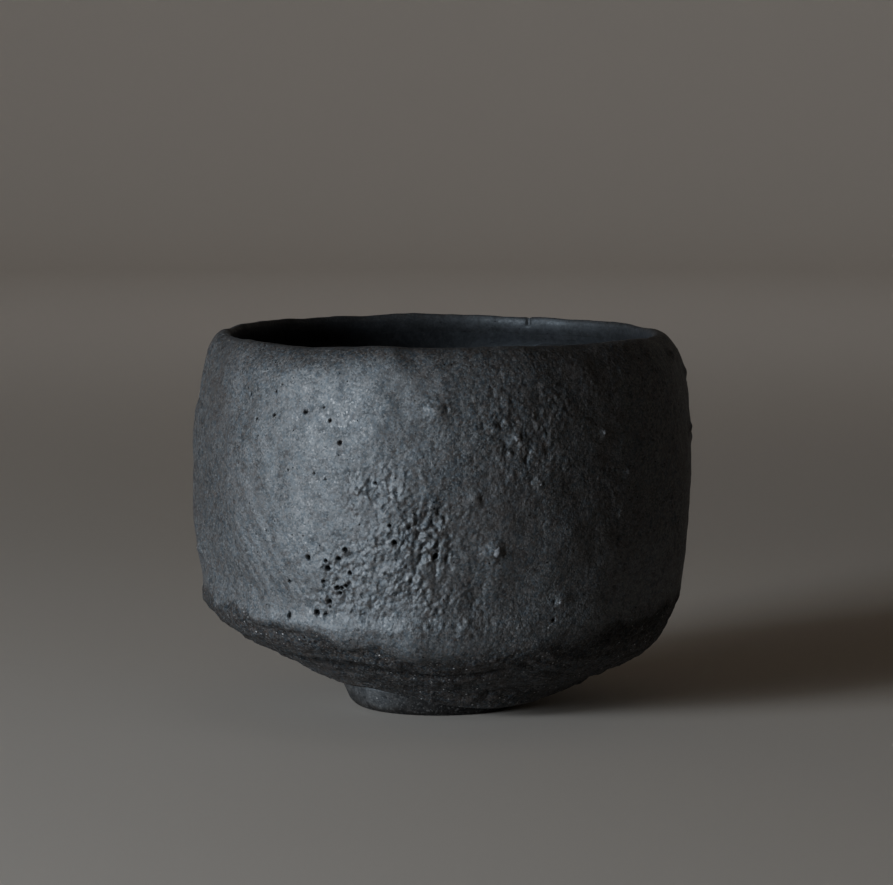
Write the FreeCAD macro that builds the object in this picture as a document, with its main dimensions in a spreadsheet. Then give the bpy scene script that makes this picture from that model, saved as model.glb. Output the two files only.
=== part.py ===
"""Tea bowl (matcha chawan), hand built in dark, coarse, carbon-fired stoneware.

Frame: +Z up, origin on the table under the centre of the wall, front of the bowl towards -Y.
All lengths are in millimetres, all bearings in degrees from +X, counted anticlockwise from above.

The clay is laid up the way a potter builds it: a thick base, three coils, a lip coil and a foot ring,
each luted to the next on a bevelled seat.  A thin glaze lines the inside, and coarse stone grains sit in
pockets of the outer face.  The whole clay shell is drawn first, then cut along the bevelled seats.
"""

import FreeCAD, Part
import os

import Sketcher

PARTS_FOLDER = "parts"
UP = FreeCAD.Vector(0, 0, 1)

# Driving dimensions: alias, value, meaning.
DIMENSIONS = (
    ("foot_height", 5.0, "standing face of the foot ring to its seat on the base"),
    ("foot_top_radius", 22.0, "outer radius of the foot ring at its seat"),
    ("foot_face_radius", 19.6, "outer radius of the foot ring at the table, before rounding"),
    ("foot_recess_radius", 13.0, "radius of the hollow at its ceiling"),
    ("foot_recess_mouth", 13.6, "radius of the hollow at the table"),
    ("foot_rounding", 3.2, "rounding of the outer lower edge"),
    ("foot_easing", 0.6, "easing of the inner lower edge"),
    ("foot_shift", -1.4, "foot ring off the bowl's axis, along X"),
    ("boss_radius", 4.5, "central cone in the hollow of the foot, at its root"),
    ("boss_tip_radius", 1.0, "same cone, at its tip"),
    ("boss_drop", 1.4, "how far that cone hangs into the hollow"),
    ("pool_floor_radius", 8.0, "tea pool, a shallow dish in the floor, at its bottom"),
    ("pool_radius", 13.0, "tea pool at the floor"),
    ("pool_depth", 1.4, "depth of the tea pool"),
    ("floor_height", 13.5, "clay floor above the table"),
    ("glaze_thickness", 0.6, "glaze lining of the inside"),
    ("glaze_top", 86.4, "upper edge of the glaze lining"),
    ("seat_reach", 66.0, "bevelled seats: outer end of the cone they lie on, outside the bowl"),
    ("seat_hub", 38.0, "inner end of that cone, in the open room of the bowl"),
    ("seat_rise", 14.7, "height of that cone between its two ends"),
    ("seat_drop", 3.9, "how far the cone's outer end lies below the seat's edge on the wall"),
    ("seat_base", 27.5, "seat between the base and the lower coil, at its outer edge"),
    ("seat_lower", 47.5, "seat between the lower and the middle coil"),
    ("seat_middle", 63.5, "seat between the middle and the upper coil"),
    ("seat_upper", 78.0, "seat between the upper coil and the lip"),
)

# Round cross-sections of the clay: height, radius, and how far the centre is off the axis along X and Y.
SECTION_FIELDS = ("height", "radius", "shift", "depth_shift")
UNDERSIDE = (
    (5.0, 25.2, 2.0, 0.4),
    (7.0, 30.0, 3.6, -0.6),
    (12.0, 40.0, 4.3, -1.6),
    (18.0, 49.3, 2.4, -1.6),
    (23.0, 54.2, 0.4, -1.0),
    (26.0, 56.2, 0.0, -0.3),
)
WALL = (
    (26.0, 56.2, 0.0, -0.3),
    (34.0, 57.0, 0.2, 0.0),
    (47.5, 58.3, 0.0, 0.0),
    (58.0, 58.5, 0.0, 0.2),
    (68.5, 58.2, 0.0, 0.2),
    (79.0, 56.6, 0.4, 0.2),
    (84.5, 55.0, 0.2, 0.3),
    (87.0, 53.3, 0.0, 0.4),
    (88.4, 50.6, -0.3, 0.5),
)
INSIDE = (
    (13.5, 20.0, 1.0, 0.0),
    (14.8, 31.0, 1.3, 0.0),
    (18.5, 40.0, 1.5, 0.0),
    (25.0, 47.4, 0.7, 0.0),
    (36.0, 51.4, 0.2, 0.0),
    (50.0, 52.7, 0.0, 0.0),
    (64.0, 52.9, 0.0, 0.0),
    (76.0, 52.3, 0.2, 0.0),
    (83.0, 51.0, 0.2, 0.2),
    (86.6, 49.5, 0.0, 0.4),
    (88.4, 49.7, 0.0, 0.4),
    (90.0, 50.6, 0.0, 0.4),
)

# Stone grains in the outer face of each coil: bearing, height, diameter, and how far each stands proud.
GRAIN_FIELDS = ("bearing", "height", "diameter", "proud")
GRAINS = {
    "lower_coil": (
        (282.0, 43.8, 3.4, 0.9),
        (298.0, 31.9, 2.6, 0.7),
        (58.0, 37.0, 3.0, 0.8),
        (128.0, 42.0, 2.8, 0.7),
        (193.0, 39.0, 2.4, 0.6),
    ),
    "middle_coil": (
        (277.5, 55.5, 2.0, 0.6),
        (292.0, 58.5, 1.6, 0.5),
        (316.0, 59.5, 1.8, 0.5),
        (20.0, 52.0, 2.6, 0.7),
        (160.0, 56.0, 2.0, 0.6),
    ),
    "upper_coil": (
        (269.0, 74.5, 3.4, 0.8),
        (286.5, 68.8, 2.2, 0.7),
        (309.0, 69.0, 1.6, 0.5),
        (352.0, 66.6, 2.4, 0.8),
        (95.0, 70.0, 2.2, 0.6),
    ),
}

doc = FreeCAD.newDocument("tea_bowl")
sheet = doc.addObject("Spreadsheet::Sheet", "sizes")
row = 0


def add_size(alias, value, note=""):
    """One driving dimension in the sheet, as plain text with an alias."""
    global row
    row += 1
    sheet.set(f"A{row}", alias)
    sheet.set(f"B{row}", str(value))
    sheet.set(f"C{row}", note)
    sheet.setAlias(f"B{row}", alias)


def add_table(prefix, fields, rows):
    for number, values in enumerate(rows, 1):
        for field, value in zip(fields, values):
            add_size(f"{prefix}{number}_{field}", value)


for dimension in DIMENSIONS:
    add_size(*dimension)
add_table("under", SECTION_FIELDS, UNDERSIDE)
add_table("wall", SECTION_FIELDS, WALL)
add_table("inside", SECTION_FIELDS, INSIDE)
for member, member_grains in GRAINS.items():
    add_table(f"{member}_grain", GRAIN_FIELDS, member_grains)
doc.recompute()


def origin_plane(body, role):
    return next(f for f in body.Origin.OriginFeatures if f.Role == role)


def bind(feature, **expressions):
    """Binds properties to the sheet.  A double underscore in a keyword stands for a dot."""
    for name, expression in expressions.items():
        feature.setExpression(name.replace("__", "."), expression)


def section_sketch(body, prefix, number, inset="0"):
    """A circle at one section's height, drawn inset towards the inside of the bowl."""
    name = f"{prefix}{number}"
    sketch = body.newObject("Sketcher::SketchObject", f"{body.Name}_{name}")
    sketch.AttachmentSupport = [(origin_plane(body, "XY_Plane"), "")]
    sketch.MapMode = "FlatFace"
    sketch.setExpression("AttachmentOffset.Base.x", f"sizes.{name}_shift")
    sketch.setExpression("AttachmentOffset.Base.y", f"sizes.{name}_depth_shift")
    sketch.setExpression("AttachmentOffset.Base.z", f"sizes.{name}_height + {inset}")
    sketch.addGeometry(Part.Circle(FreeCAD.Vector(0, 0, 0), UP, 10.0))
    sketch.addConstraint(Sketcher.Constraint("Coincident", 0, 3, -1, 1))
    radius = sketch.addConstraint(Sketcher.Constraint("Radius", 0, 10.0))
    sketch.renameConstraint(radius, "radius")
    sketch.setExpression("Constraints.radius", f"sizes.{name}_radius - {inset}")
    return sketch


def loft(body, sketches, name):
    feature = body.newObject("PartDesign::AdditiveLoft", name)
    feature.Profile = sketches[0]
    feature.Sections = sketches[1:]
    return feature


def lofted_body(name, prefix, count, inset="0"):
    body = doc.addObject("PartDesign::Body", name)
    sketches = [section_sketch(body, prefix, n, inset) for n in range(1, count + 1)]
    loft(body, sketches, f"{name}_loft")
    return body


def outer_body():
    """The bowl's outside: a flaring underside and, above the hip, the nearly upright wall."""
    body = doc.addObject("PartDesign::Body", "outside")
    under = [section_sketch(body, "under", n) for n in range(1, len(UNDERSIDE) + 1)]
    loft(body, under, "underside_loft")
    doc.recompute()
    wall = [section_sketch(body, "wall", n) for n in range(1, len(WALL) + 1)]
    loft(body, wall, "wall_loft")
    return body


def cone(name, lower_radius, upper_radius, bottom, height):
    feature = doc.addObject("Part::Cone", name)
    bind(
        feature,
        Radius1=lower_radius,
        Radius2=upper_radius,
        Height=height,
        Placement__Base__z=bottom,
    )
    return feature


def cylinder(name, radius, top):
    """A round slug from the table up to a height."""
    feature = doc.addObject("Part::Cylinder", name)
    bind(feature, Radius=radius, Height=top)
    return feature


def boolean(kind, name, base, tool):
    feature = doc.addObject(f"Part::{kind}", name)
    feature.Base = base
    feature.Tool = tool
    return feature


def hollow(name, inset):
    """The room inside the bowl with its tea pool, drawn inset by the glaze or by nothing."""
    room = lofted_body(f"{name}_room", "inside", len(INSIDE), inset)
    pool = cone(
        f"{name}_pool",
        f"sizes.pool_floor_radius - {inset}",
        f"sizes.pool_radius - {inset}",
        f"sizes.floor_height - sizes.pool_depth + {inset}",
        "sizes.pool_depth",
    )
    return boolean("Fuse", name, room, pool)


def seat_tool(name):
    """Everything below one bevelled seat: a slug with a cone on it that rises towards the axis."""
    foot_of_bevel = f"sizes.{name} - sizes.seat_drop"
    below = cylinder(f"{name}_slug", "sizes.seat_reach", foot_of_bevel)
    bevel = cone(
        f"{name}_bevel",
        "sizes.seat_reach",
        "sizes.seat_hub",
        foot_of_bevel,
        "sizes.seat_rise",
    )
    return boolean("Fuse", f"{name}_tool", below, bevel)


def foot_ring():
    """Foot ring: a turned ring with a rounded outer lower edge and an eased inner one."""
    body = doc.addObject("PartDesign::Body", "foot_ring")
    sketch = body.newObject("Sketcher::SketchObject", "foot_profile")
    sketch.AttachmentSupport = [(origin_plane(body, "XZ_Plane"), "")]
    sketch.MapMode = "FlatFace"
    corners = [FreeCAD.Vector(*p, 0) for p in ((13.6, 0), (19.6, 0), (22, 5), (13, 5))]
    for start, end in zip(corners, corners[1:] + corners[:1]):
        sketch.addGeometry(Part.LineSegment(start, end))
    for line in range(4):
        sketch.addConstraint(Sketcher.Constraint("Coincident", line, 2, (line + 1) % 4, 1))
    sketch.addConstraint(Sketcher.Constraint("Horizontal", 0))
    sketch.addConstraint(Sketcher.Constraint("Horizontal", 2))
    sketch.addConstraint(Sketcher.Constraint("PointOnObject", 0, 1, -1))
    driven = (
        ("DistanceX", 0, "foot_recess_mouth", 13.6),
        ("DistanceX", 1, "foot_face_radius", 19.6),
        ("DistanceX", 2, "foot_top_radius", 22.0),
        ("DistanceX", 3, "foot_recess_radius", 13.0),
        ("DistanceY", 2, "foot_height", 5.0),
    )
    for kind, line, size, value in driven:
        index = sketch.addConstraint(Sketcher.Constraint(kind, line, 1, value))
        sketch.renameConstraint(index, size)
        sketch.setExpression(f"Constraints.{size}", f"sizes.{size}")
    ring = body.newObject("PartDesign::Revolution", "foot_turning")
    ring.Profile = sketch
    ring.ReferenceAxis = (sketch, ["V_Axis"])
    ring.Angle = 360.0
    doc.recompute()
    rounded = edge_fillet(body, ring, "foot_rounding", sheet.foot_face_radius)
    edge_fillet(body, rounded, "foot_easing", sheet.foot_recess_mouth)
    bind(body, Placement__Base__x="sizes.foot_shift")
    return body


def edge_fillet(body, base, size, radius):
    """Fillets the circular edge of one radius on the standing face."""
    for number, edge in enumerate(base.Shape.Edges, 1):
        box = edge.BoundBox
        flat_on_table = abs(box.ZMin) < 1e-6 and abs(box.ZMax) < 1e-6
        if flat_on_table and abs(box.XLength / 2 - radius) < 1e-3:
            fillet = body.newObject("PartDesign::Fillet", f"{size}_fillet")
            fillet.Base = (base, [f"Edge{number}"])
            fillet.setExpression("Radius", f"sizes.{size}")
            doc.recompute()
            return fillet
    raise RuntimeError(f"no edge of radius {radius} on the standing face")


def surface_radius(shape, bearing, height):
    """Distance from the axis to the outer surface, along one bearing at one height."""
    away = FreeCAD.Rotation(UP, bearing).multVec(FreeCAD.Vector(1, 0, 0))
    start = UP * height
    inside = shape.common(Part.makeLine(start, start + away * 100.0))
    return max(vertex.Point.sub(start).Length for vertex in inside.Vertexes), away


def grain_group(outside, member):
    """The coarse grains of one coil, as balls that stand a little proud of the outer face."""
    balls = []
    for number in range(1, len(GRAINS[member]) + 1):
        name = f"{member}_grain{number}"
        bearing, height, diameter, proud = (sheet.get(f"{name}_{field}") for field in GRAIN_FIELDS)
        ball = doc.addObject("Part::Sphere", name)
        ball.setExpression("Radius", f"sizes.{name}_diameter / 2")
        reach, away = surface_radius(outside.Shape, bearing, height)
        centre = away * (reach + proud - diameter / 2) + UP * height
        along_wall = FreeCAD.Rotation(UP, UP.cross(away))
        ball.Placement = FreeCAD.Placement(centre, along_wall)
        balls.append(ball)
    group = doc.addObject("Part::Compound", f"{member}_grains")
    group.Links = balls
    return group


def stone_grains(groups):
    """All grains of the three coils together."""
    grains = doc.addObject("Part::Compound", "stone_grains")
    grains.Links = list(groups.values())
    return grains


def clay_shell(outside, room):
    """The clay, outside less inside, with the cone under its floor."""
    boss = cone(
        "boss",
        "sizes.boss_tip_radius",
        "sizes.boss_radius",
        "sizes.foot_height - sizes.boss_drop",
        "sizes.boss_drop",
    )
    bind(boss, Placement__Base__x="sizes.foot_shift")
    bowl = boolean("Cut", "bowl", outside, room)
    return boolean("Fuse", "clay_shell", bowl, boss)


def clay_members(shell, groups):
    """The shell, parted from the bottom up along its bevelled seats, with a pocket for every grain."""
    members = []
    rest = shell
    seats = (
        ("base", "seat_base"),
        ("lower_coil", "seat_lower"),
        ("middle_coil", "seat_middle"),
        ("upper_coil", "seat_upper"),
    )
    for name, seat in seats:
        tool = seat_tool(seat)
        has_grains = name in groups
        member = boolean("Common", f"{name}_blank" if has_grains else name, rest, tool)
        if has_grains:
            member = boolean("Cut", name, member, groups[name])
        members.append(member)
        remaining = "lip" if name == "upper_coil" else f"above_{name}"
        rest = boolean("Cut", remaining, rest, tool)
    members.append(rest)
    return members


def inner_glaze(room):
    """Glaze between the clay's inside and the room that is left, up to its upper edge."""
    glazed_room = hollow("glazed_room", "sizes.glaze_thickness")
    lining = boolean("Cut", "lining", room, glazed_room)
    limit = cylinder("glaze_limit", "sizes.seat_reach", "sizes.glaze_top")
    return boolean("Common", "inner_glaze", lining, limit)


def check(objects):
    """Stops unless every object recomputed and every sub-part is valid and in one piece."""
    expected = {"stone_grains": sum(len(rows) for rows in GRAINS.values())}
    for item in doc.Objects:
        if {"Invalid", "Error"} & set(item.State):
            raise RuntimeError(f"{item.Label} failed: {item.State}")
    for item in objects:
        shape = item.Shape
        if shape.isNull() or not shape.isValid() or shape.Volume <= 0:
            raise RuntimeError(f"{item.Label} has no valid shape")
        if len(shape.Solids) != expected.get(item.Label, 1):
            raise RuntimeError(f"{item.Label} has {len(shape.Solids)} solids")


def main():
    outside = outer_body()
    room = hollow("room", "0")
    doc.recompute()
    groups = {member: grain_group(outside, member) for member in GRAINS}
    shell = clay_shell(outside, room)
    clay = clay_members(shell, groups)
    nodes = [foot_ring(), *clay, inner_glaze(room), stone_grains(groups)]
    doc.recompute()
    check(nodes)
    os.makedirs(PARTS_FOLDER, exist_ok=True)
    for node in nodes:
        node.Shape.exportStep(os.path.join(PARTS_FOLDER, f"{node.Label}.step"))
        shape = node.Shape
        box = shape.BoundBox
        print(
            f"{node.Label}: {len(shape.Solids)} solid(s), {shape.Volume / 1000:.2f} cm3, "
            f"Z {box.ZMin:.2f} to {box.ZMax:.2f}, X {box.XMin:.2f} to {box.XMax:.2f}"
        )


main()
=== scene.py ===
"""Matcha bowl in coarse, carbon-smoked stoneware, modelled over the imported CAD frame.

The clay's form is read from the CAD members as a smooth surface.  It gets its hand-worked relief (dents,
facets, pebbled clay, pits, tool marks) and is then divided into the same members along the CAD's seats.
Lengths are in millimetres until a mesh is made, and bearings in degrees from +X, anticlockwise from
above.  The front of the bowl is at bearing 270.  The stage, the lights and the camera are in metres.
"""

import math

import bmesh
import bpy
import numpy as np
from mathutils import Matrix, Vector
from mathutils.bvhtree import BVHTree


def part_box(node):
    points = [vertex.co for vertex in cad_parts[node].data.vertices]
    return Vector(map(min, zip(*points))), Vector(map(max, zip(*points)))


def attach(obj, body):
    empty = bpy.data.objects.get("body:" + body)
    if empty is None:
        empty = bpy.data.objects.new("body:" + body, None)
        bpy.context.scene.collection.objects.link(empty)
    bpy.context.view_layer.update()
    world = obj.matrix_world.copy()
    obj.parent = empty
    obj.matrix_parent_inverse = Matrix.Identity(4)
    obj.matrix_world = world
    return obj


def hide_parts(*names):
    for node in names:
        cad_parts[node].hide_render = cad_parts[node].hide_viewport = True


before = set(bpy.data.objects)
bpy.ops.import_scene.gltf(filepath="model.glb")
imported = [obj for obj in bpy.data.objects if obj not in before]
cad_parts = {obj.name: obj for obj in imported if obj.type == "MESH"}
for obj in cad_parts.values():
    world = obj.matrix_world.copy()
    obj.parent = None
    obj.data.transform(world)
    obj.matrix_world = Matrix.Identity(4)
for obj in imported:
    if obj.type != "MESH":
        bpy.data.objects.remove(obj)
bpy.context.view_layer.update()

MM = 0.001
CLAY = ("base", "lower_coil", "middle_coil", "upper_coil", "lip")


# ---------------------------------------------------------------- reading the CAD form

# Rays round the bowl at each station of the profile, and harmonics kept of what they meet.
SIGHT_LINES = 72
HARMONICS = 3

# Where rays start for the outside (radius) and the floor (height), and the circle round the lip's middle
# from which they look in at the crest (radius, height, reach).
OUTSIDE_START = 90.0
FLOOR_START = 60.0
RIM_CIRCLE = (51.0, 83.8, 20)


def tree_of(*names):
    """One search tree over the meshes of these CAD nodes."""
    points, faces = [], []
    for name in names:
        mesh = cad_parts[name].data
        start = len(points)
        points += [v.co.copy() for v in mesh.vertices]
        faces += [[start + i for i in polygon.vertices] for polygon in mesh.polygons]
    return BVHTree.FromPolygons(points, faces)


def wave_basis(bearings):
    """Columns 1, cos, sin, cos 2, sin 2 and so on, for bearings in degrees."""
    angle = np.radians(np.asarray(bearings, float))
    columns = [np.ones_like(angle)]
    for order in range(1, HARMONICS + 1):
        columns += [np.cos(order * angle), np.sin(order * angle)]
    return np.stack(columns, axis=-1)


def smooth_terms(bearings, values):
    """Harmonic terms of a value round the bowl, fitted again without the few lines that met a pocket."""
    basis = wave_basis(bearings)
    terms = np.linalg.lstsq(basis, values, rcond=None)[0]
    for _ in range(2):
        error = np.abs(values - basis @ terms)
        good = error <= max(0.05, 2.5 * np.median(error))
        terms = np.linalg.lstsq(basis[good], values[good], rcond=None)[0]
    return terms


def sight(tree, start, heading):
    """Terms of the radius and height where rays meet the CAD, one in the upright plane of each bearing."""
    bearings = np.arange(SIGHT_LINES) * 360.0 / SIGHT_LINES
    radii, heights = [], []
    for bearing in np.radians(bearings):
        along = Vector((math.cos(bearing), math.sin(bearing), 0.0))
        origin = (along * start[0] + Vector((0, 0, start[1]))) * MM
        hit = tree.ray_cast(origin, along * heading[0] + Vector((0, 0, heading[1])))[0]
        radii.append(hit.dot(along) / MM)
        heights.append(hit.z / MM)
    return smooth_terms(bearings, np.array(radii)), smooth_terms(bearings, np.array(heights))


def sight_stations(top_of_foot):
    """Rays along the clay's profile: underside and wall from outside, the rim, then down the inside."""
    wall_heights = np.arange(top_of_foot + 0.15, 83.5, 1.6)
    inside_heights = np.arange(82.0, 18.0, -2.0)
    floor_radii = np.arange(36.0, 0.5, -3.0)
    outside = [((OUTSIDE_START, z), (-1.0, 0.0)) for z in wall_heights]
    radius, height, reach = RIM_CIRCLE
    rim = []
    for degrees in range(0, 181, 9):
        c, s = math.cos(math.radians(degrees)), math.sin(math.radians(degrees))
        rim.append(((radius + reach * c, height + reach * s), (-c, -s)))
    inside = [((0.0, z), (1.0, 0.0)) for z in inside_heights]
    floor = [((r, FLOOR_START), (0.0, -1.0)) for r in floor_radii]
    return outside + rim + inside + floor


class Profile:
    """A surface round the bowl's axis, known by harmonic terms at stations along its profile."""

    def __init__(self, tree, stations):
        terms = [sight(tree, *station) for station in stations]
        self.radius = np.array([r for r, z in terms])
        self.height = np.array([z for r, z in terms])
        steps = np.hypot(np.diff(self.radius[:, 0]), np.diff(self.height[:, 0]))
        self.along = np.concatenate([[0.0], np.cumsum(steps)])

    def terms_at(self, along, table):
        """Catmull-Rom interpolation of the terms along the profile."""
        knots = self.along
        i = np.clip(np.searchsorted(knots, along, side="right") - 1, 0, len(knots) - 2)
        before, after = np.maximum(i - 1, 0), np.minimum(i + 2, len(knots) - 1)
        gap = knots[i + 1] - knots[i]
        t = ((along - knots[i]) / gap)[:, None]
        out = (table[i + 1] - table[before]) / (knots[i + 1] - knots[before])[:, None] * gap[:, None]
        into = (table[after] - table[i]) / (knots[after] - knots[i])[:, None] * gap[:, None]
        rise = t * t * (3 - 2 * t)
        bend = t * (1 - t)
        return table[i] * (1 - rise) + table[i + 1] * rise + bend * ((1 - t) * out - t * into)

    def points(self, along, bearings):
        """Grid of points, rows along the profile by columns round the bowl, in millimetres."""
        basis = wave_basis(bearings).T
        radius = self.terms_at(along, self.radius) @ basis
        height = self.terms_at(along, self.height) @ basis
        angle = np.radians(bearings)
        return np.stack([radius * np.cos(angle), radius * np.sin(angle), height], axis=-1)

    def where_height(self, height, outer=True):
        """Distance along the profile to a mean height, on the outer or the inner side of the rim."""
        heights = self.height[:, 0]
        top = int(np.argmax(heights))
        if outer:
            return float(np.interp(height, heights[: top + 1], self.along[: top + 1]))
        return float(np.interp(-height, -heights[top:], self.along[top:]))

    def top(self):
        """Distance along the profile to the crest of the rim."""
        return float(self.along[int(np.argmax(self.height[:, 0]))])


# ---------------------------------------------------------------- noise

class Noise:
    """Seeded gradient and cell noise, about -1 to 1, at points in millimetres."""

    def __init__(self, seed):
        rng = np.random.default_rng(seed)
        self.order = rng.permutation(4096).astype(np.int64)
        arrows = rng.normal(size=(4096, 3))
        self.arrows = arrows / np.linalg.norm(arrows, axis=1, keepdims=True)
        self.chance = rng.random((4096, 4))

    def key(self, cell):
        mixed = self.order[(cell[..., 0] + 11) & 4095]
        mixed = self.order[(mixed + cell[..., 1]) & 4095]
        return self.order[(mixed + cell[..., 2]) & 4095]

    def waves(self, points, length):
        """Smooth hills and hollows whose size is about the given length."""
        p = points / length
        cell = np.floor(p).astype(np.int64)
        part = p - cell
        fade = part**3 * (part * (part * 6 - 15) + 10)
        total = np.zeros(points.shape[:-1])
        for corner in np.ndindex(2, 2, 2):
            corner = np.array(corner)
            arrow = self.arrows[self.key(cell + corner)]
            weight = np.prod(np.where(corner == 1, fade, 1 - fade), axis=-1)
            total += weight * np.sum(arrow * (part - corner), axis=-1)
        return total * 1.6

    def layered(self, points, length, layers=3, drop=0.5):
        """Waves on waves, each layer half as long as the one before and weaker by the drop."""
        total = 0.0
        for layer in range(layers):
            total = total + drop**layer * self.waves(points + 31.7 * layer, length * 0.5**layer)
        return total

    def cells(self, points, length):
        """Distance to the nearest of scattered centres, and that centre's chance between 0 and 1."""
        p = points / length
        home = np.floor(p).astype(np.int64)
        nearest = np.full(points.shape[:-1], 9.0)
        owner = np.zeros(points.shape[:-1], np.int64)
        for step in np.ndindex(3, 3, 3):
            cell = home + (np.array(step) - 1)
            key = self.key(cell)
            away = np.linalg.norm(cell + self.chance[key, :3] - p, axis=-1)
            nearer = away < nearest
            owner = np.where(nearer, key, owner)
            nearest = np.where(nearer, away, nearest)
        return nearest * length, self.chance[owner, 3]


def ease(low, high, value):
    """0 below low, 1 above high, smooth between.  It falls when low is above high."""
    t = np.clip((value - low) / (high - low), 0.0, 1.0)
    return t * t * (3 - 2 * t)


def turn(bearings, centre):
    """Signed angle from a centre bearing, in degrees."""
    return (bearings - centre + 180.0) % 360.0 - 180.0


def bell(value, width):
    """1 at zero, falling to 0.37 at the width and to nothing beyond it."""
    return np.exp(-((value / width) ** 2))


# ---------------------------------------------------------------- relief of the outer skin

WALL_RADIUS = 58.0

# The hip, where the wall turns under: its height at the front and how much higher it runs elsewhere, and
# half the height over which the wall fades into the trimmed underside, elsewhere and right of the front.
HIP_FRONT = 19.5
HIP_RISE = 8.6
HIP_SOFTNESS = (1.1, 4.5)

# Patches of torn, pebbled clay: bearing, height, half width, half height, strength.
PEBBLED = (
    (263.5, 42.0, 14.0, 17.0, 0.95),
    (249.5, 36.0, 13.0, 11.0, 0.85),
    (258.5, 55.0, 12.0, 9.0, 0.75),
    (273.0, 30.0, 12.0, 9.0, 0.60),
    (287.0, 69.0, 16.0, 15.0, 0.50),
    (296.0, 74.0, 12.0, 10.0, 0.40),
    (318.0, 48.0, 12.0, 14.0, 0.45),
    (338.0, 40.0, 10.0, 16.0, 0.50),
    (334.0, 70.0, 8.0, 12.0, 0.40),
    (12.0, 46.0, 12.0, 11.0, 0.60),
    (64.0, 60.0, 15.0, 10.0, 0.50),
    (118.0, 40.0, 14.0, 12.0, 0.85),
    (165.0, 55.0, 11.0, 13.0, 0.45),
)

# Where the sand shows more or less than usual: bearing, height, half width, half height, amount.
SANDY = (
    (284.0, 66.0, 17.0, 14.0, 0.15),
    (262.0, 79.0, 22.0, 9.0, -0.25),
    (264.0, 42.0, 15.0, 16.0, 0.05),
    (276.0, 28.0, 20.0, 6.0, 0.35),
    (305.0, 30.0, 14.0, 8.0, 0.55),
    (322.0, 56.0, 21.0, 36.0, 1.90),
    (284.0, 41.0, 9.0, 9.0, -0.20),
    (240.0, 66.0, 20.0, 18.0, -0.35),
    (202.0, 58.0, 14.0, 34.0, 1.10),
    (118.0, 40.0, 16.0, 14.0, 0.4),
    (64.0, 60.0, 17.0, 12.0, 0.4),
)

# Pale bloom on the wall, partly the smoke's own and partly painted light: bearing, height, half width, half
# height, amount.
BLOOMS_AND_PAINTED_LIGHT = (
    (211.0, 79.0, 4.5, 11.0, 0.90),
    (222.0, 60.0, 3.5, 11.0, 0.60),
    (226.0, 44.0, 4.5, 9.0, 0.60),
    (238.0, 50.0, 10.0, 14.0, 0.30),
    (214.0, 60.0, 6.0, 30.0, 0.50),
    (249.0, 38.0, 13.0, 7.0, 0.90),
    (262.0, 38.0, 9.0, 11.0, 0.50),
    (280.0, 62.0, 8.0, 9.0, 0.25),
    (30.0, 60.0, 12.0, 14.0, 0.45),
    (100.0, 70.0, 14.0, 10.0, 0.45),
    (150.0, 44.0, 12.0, 12.0, 0.40),
)

# Open pits in the clay: bearing, height, width, depth.
PITS = (
    (239.0, 41.3, 1.02, 1.1),
    (243.4, 40.9, 0.8, 0.8),
    (243.6, 39.2, 1.07, 1.2),
    (246.6, 41.6, 0.82, 1.0),
    (249.2, 38.5, 1.07, 1.2),
    (242.4, 36.2, 0.8, 0.7),
    (245.8, 34.8, 1.07, 1.2),
    (246.9, 34.9, 0.98, 1.1),
    (248.0, 35.4, 0.9, 1.0),
    (246.4, 33.6, 0.7, 0.7),
    (243.4, 31.5, 0.8, 0.7),
    (243.5, 30.3, 0.6, 0.6),
    (239.8, 28.6, 0.98, 0.9),
    (242.0, 28.4, 1.07, 0.9),
    (232.0, 27.4, 0.82, 0.8),
    (259.8, 46.0, 1.07, 1.1),
    (258.9, 49.6, 0.8, 0.7),
    (268.6, 42.8, 1.07, 1.2),
    (255.5, 59.0, 0.7, 0.6),
    (248.4, 43.7, 1.2, 0.4),
    (220.0, 77.0, 0.7, 0.5),
    (230.3, 79.7, 0.5, 0.4),
    (228.6, 78.0, 0.5, 0.4),
    (228.7, 72.8, 0.7, 0.6),
    (223.5, 71.6, 0.6, 0.5),
    (237.6, 73.9, 0.9, 0.4),
    (242.4, 75.2, 0.7, 0.3),
    (244.2, 72.4, 0.6, 0.6),
    (247.0, 67.6, 0.8, 0.5),
    (233.6, 60.8, 0.5, 0.4),
    (240.6, 60.4, 0.5, 0.5),
    (243.6, 59.2, 0.5, 0.4),
    (227.0, 46.5, 0.5, 0.5),
    (223.0, 51.0, 0.4, 0.4),
    (233.0, 35.5, 0.6, 0.5),
    (296.5, 27.3, 0.8, 0.6),
    (18.0, 40.0, 1.3, 1.0),
    (21.0, 38.4, 1.0, 0.9),
    (14.0, 36.0, 1.1, 0.9),
    (70.0, 66.0, 0.9, 0.7),
    (112.0, 37.0, 1.4, 1.2),
    (116.0, 39.5, 1.0, 0.9),
    (121.0, 35.5, 1.2, 1.0),
    (124.0, 44.5, 0.8, 0.7),
    (158.0, 60.0, 0.9, 0.7),
    (171.0, 49.0, 1.1, 0.9),
)

# Lumps where a grain lies just under the skin: bearing, height, width, rise.
LUMPS = (
    (275.5, 42.6, 3.2, 0.25),
    (262.0, 58.5, 4.5, 0.35),
    (285.2, 65.4, 1.4, 0.3),
    (300.0, 47.0, 3.0, 0.25),
    (312.0, 41.0, 5.0, 0.35),
    (322.0, 54.0, 4.0, 0.30),
    (345.0, 84.5, 4.0, 0.90),
    (1.0, 63.4, 3.6, 0.45),
    (357.0, 79.0, 3.4, 0.45),
    (6.0, 30.0, 5.0, 0.30),
    (182.0, 70.0, 4.0, 0.25),
    (178.0, 34.0, 5.0, 0.25),
    (45.0, 72.0, 4.0, 0.35),
    (84.0, 50.0, 3.5, 0.30),
    (140.0, 68.0, 4.0, 0.30),
)

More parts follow.
